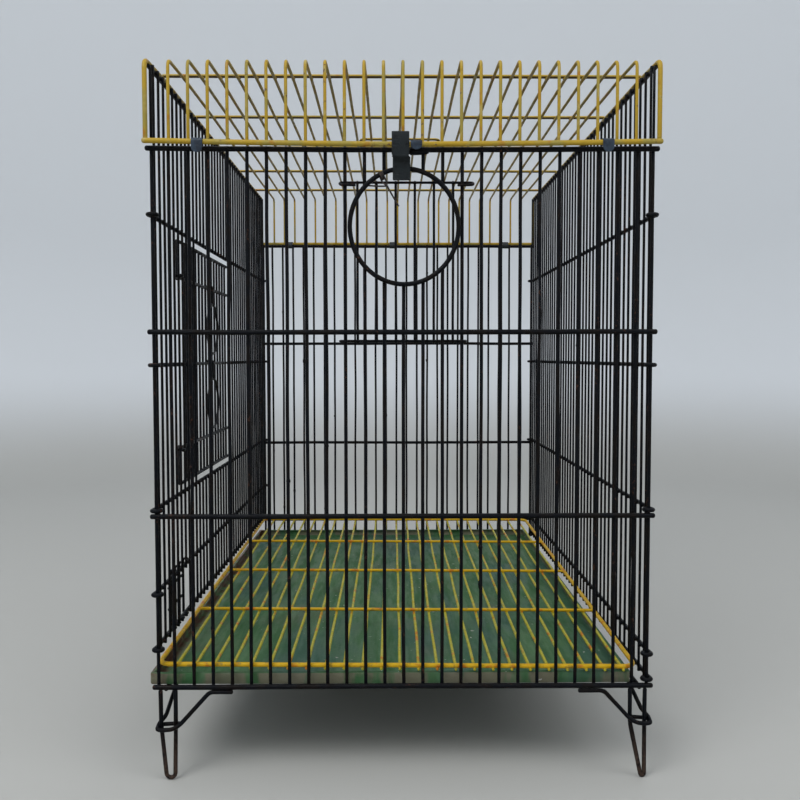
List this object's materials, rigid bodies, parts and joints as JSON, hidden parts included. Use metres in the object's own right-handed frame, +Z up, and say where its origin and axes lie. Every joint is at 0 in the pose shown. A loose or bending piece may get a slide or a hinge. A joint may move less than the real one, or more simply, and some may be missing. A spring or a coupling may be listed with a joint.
{
  "type": "folding wire bird cage",
  "caption": "Folding wire bird cage with a round entrance, hinged walls, lift-up roof with carry handle, side door with cup rings, wire floor, slide-out tray and hairpin legs.",
  "frame": {"origin": "on the ground below the middle of the cage's bounding box", "axes": "+X to the right across the front wall, +Y from the front wall to the back wall, +Z up"},
  "size_m": [0.486, 0.7327, 0.6787],
  "materials": {
    "black_paint": "worn satin enamel",
    "slate_sheet": "satin painted sheet",
    "roof_paint": "worn mustard enamel",
    "grid_paint": "yellow enamel",
    "tray_paint": "dusty green enamel",
    "bare_wire": "dull binding wire"
  },
  "bodies": {
    "base": {"front_panel": "black_paint", "entry_ring": "black_paint", "rear_sill": "black_paint", "left_base_rail": "black_paint", "right_base_rail": "black_paint", "leg_front_left": "black_paint", "leg_front_right": "black_paint", "leg_back_left": "black_paint", "leg_back_right": "black_paint", "brace_front_left": "black_paint", "brace_front_right": "black_paint", "brace_back_left": "black_paint", "brace_back_right": "black_paint", "tie_wire": "bare_wire"},
    "right_wall": {"right_panel": "black_paint"},
    "left_wall": {"left_panel": "black_paint"},
    "back_wall": {"back_panel": "black_paint", "back_clip_left": "slate_sheet", "back_clip_middle": "slate_sheet", "back_clip_right": "slate_sheet"},
    "roof": {"roof_panel": "roof_paint", "front_clip_left": "slate_sheet", "front_clip_middle": "slate_sheet", "front_clip_right": "slate_sheet"},
    "latch": {"latch_plate": "slate_sheet"},
    "handle": {"carry_handle": "roof_paint"},
    "entrance_door": {"front_door": "black_paint"},
    "swing_door": {"side_door": "black_paint"},
    "upper_cup": {"upper_cup_ring": "black_paint"},
    "lower_cup": {"lower_cup_ring": "black_paint"},
    "hatch": {"feed_hatch": "black_paint"},
    "tray": {"floor_tray": "tray_paint"},
    "grid": {"floor_grid": "grid_paint"}
  },
  "joints": [
    {"name": "wall_fold", "type": "hinge", "parent": "base", "child": "right_wall", "pos_m": [0.23535, -0.352, 0.0931], "axis": [0, 0, -1], "range_deg": [0, 80]},
    {"name": "left_fold", "type": "hinge", "parent": "base", "child": "left_wall", "pos_m": [-0.22225, -0.352, 0.1225], "axis": [0, 0, -1], "range_deg": [0, 80]},
    {"name": "back_fold", "type": "hinge", "parent": "right_wall", "child": "back_wall", "pos_m": [0.23535, 0.352, 0.1196], "axis": [0, 0, 1], "range_deg": [0, 80]},
    {"name": "roof_open", "type": "hinge", "parent": "back_wall", "child": "roof", "pos_m": [0.00655, 0.3627, 0.5897], "axis": [-1, 0, 0], "range_deg": [0, 105]},
    {"name": "latch_flip", "type": "hinge", "parent": "roof", "child": "latch", "pos_m": [0.00655, -0.3627, 0.5897], "axis": [-1, 0, 0], "range_deg": [0, 18]},
    {"name": "handle_lift", "type": "hinge", "parent": "roof", "child": "handle", "pos_m": [0.00655, 0, 0.6734], "axis": [-1, 0, 0], "range_deg": [0, 175]},
    {"name": "front_door_slide", "type": "slide", "parent": "base", "child": "entrance_door", "axis": [0, 0, -1], "range_m": [0, 0.129]},
    {"name": "side_door_swing", "type": "hinge", "parent": "left_wall", "child": "swing_door", "pos_m": [-0.22225, -0.2552, 0.388], "axis": [0, 0, 1], "range_deg": [0, 95]},
    {"name": "upper_cup_swing", "type": "hinge", "parent": "swing_door", "child": "upper_cup", "pos_m": [-0.22765, -0.0768, 0.4789], "axis": [0, -1, 0], "range_deg": [0, 85]},
    {"name": "lower_cup_swing", "type": "hinge", "parent": "swing_door", "child": "lower_cup", "pos_m": [-0.22765, -0.0768, 0.388], "axis": [0, -1, 0], "range_deg": [0, 85]},
    {"name": "feed_hatch_slide", "type": "slide", "parent": "left_wall", "child": "hatch", "axis": [0, -1, 0], "range_m": [0, 0.055]},
    {"name": "tray_slide", "type": "slide", "parent": "base", "child": "tray", "axis": [-1, 0, 0], "range_m": [0, 0.4]},
    {"name": "grid_slide", "type": "slide", "parent": "base", "child": "grid", "axis": [-1, 0, 0], "range_m": [0, 0.4]}
  ],
  "couplings": [
    {"joint": "left_fold", "follows": "wall_fold", "ratio": 1},
    {"joint": "back_fold", "follows": "wall_fold", "ratio": 1}
  ]
}
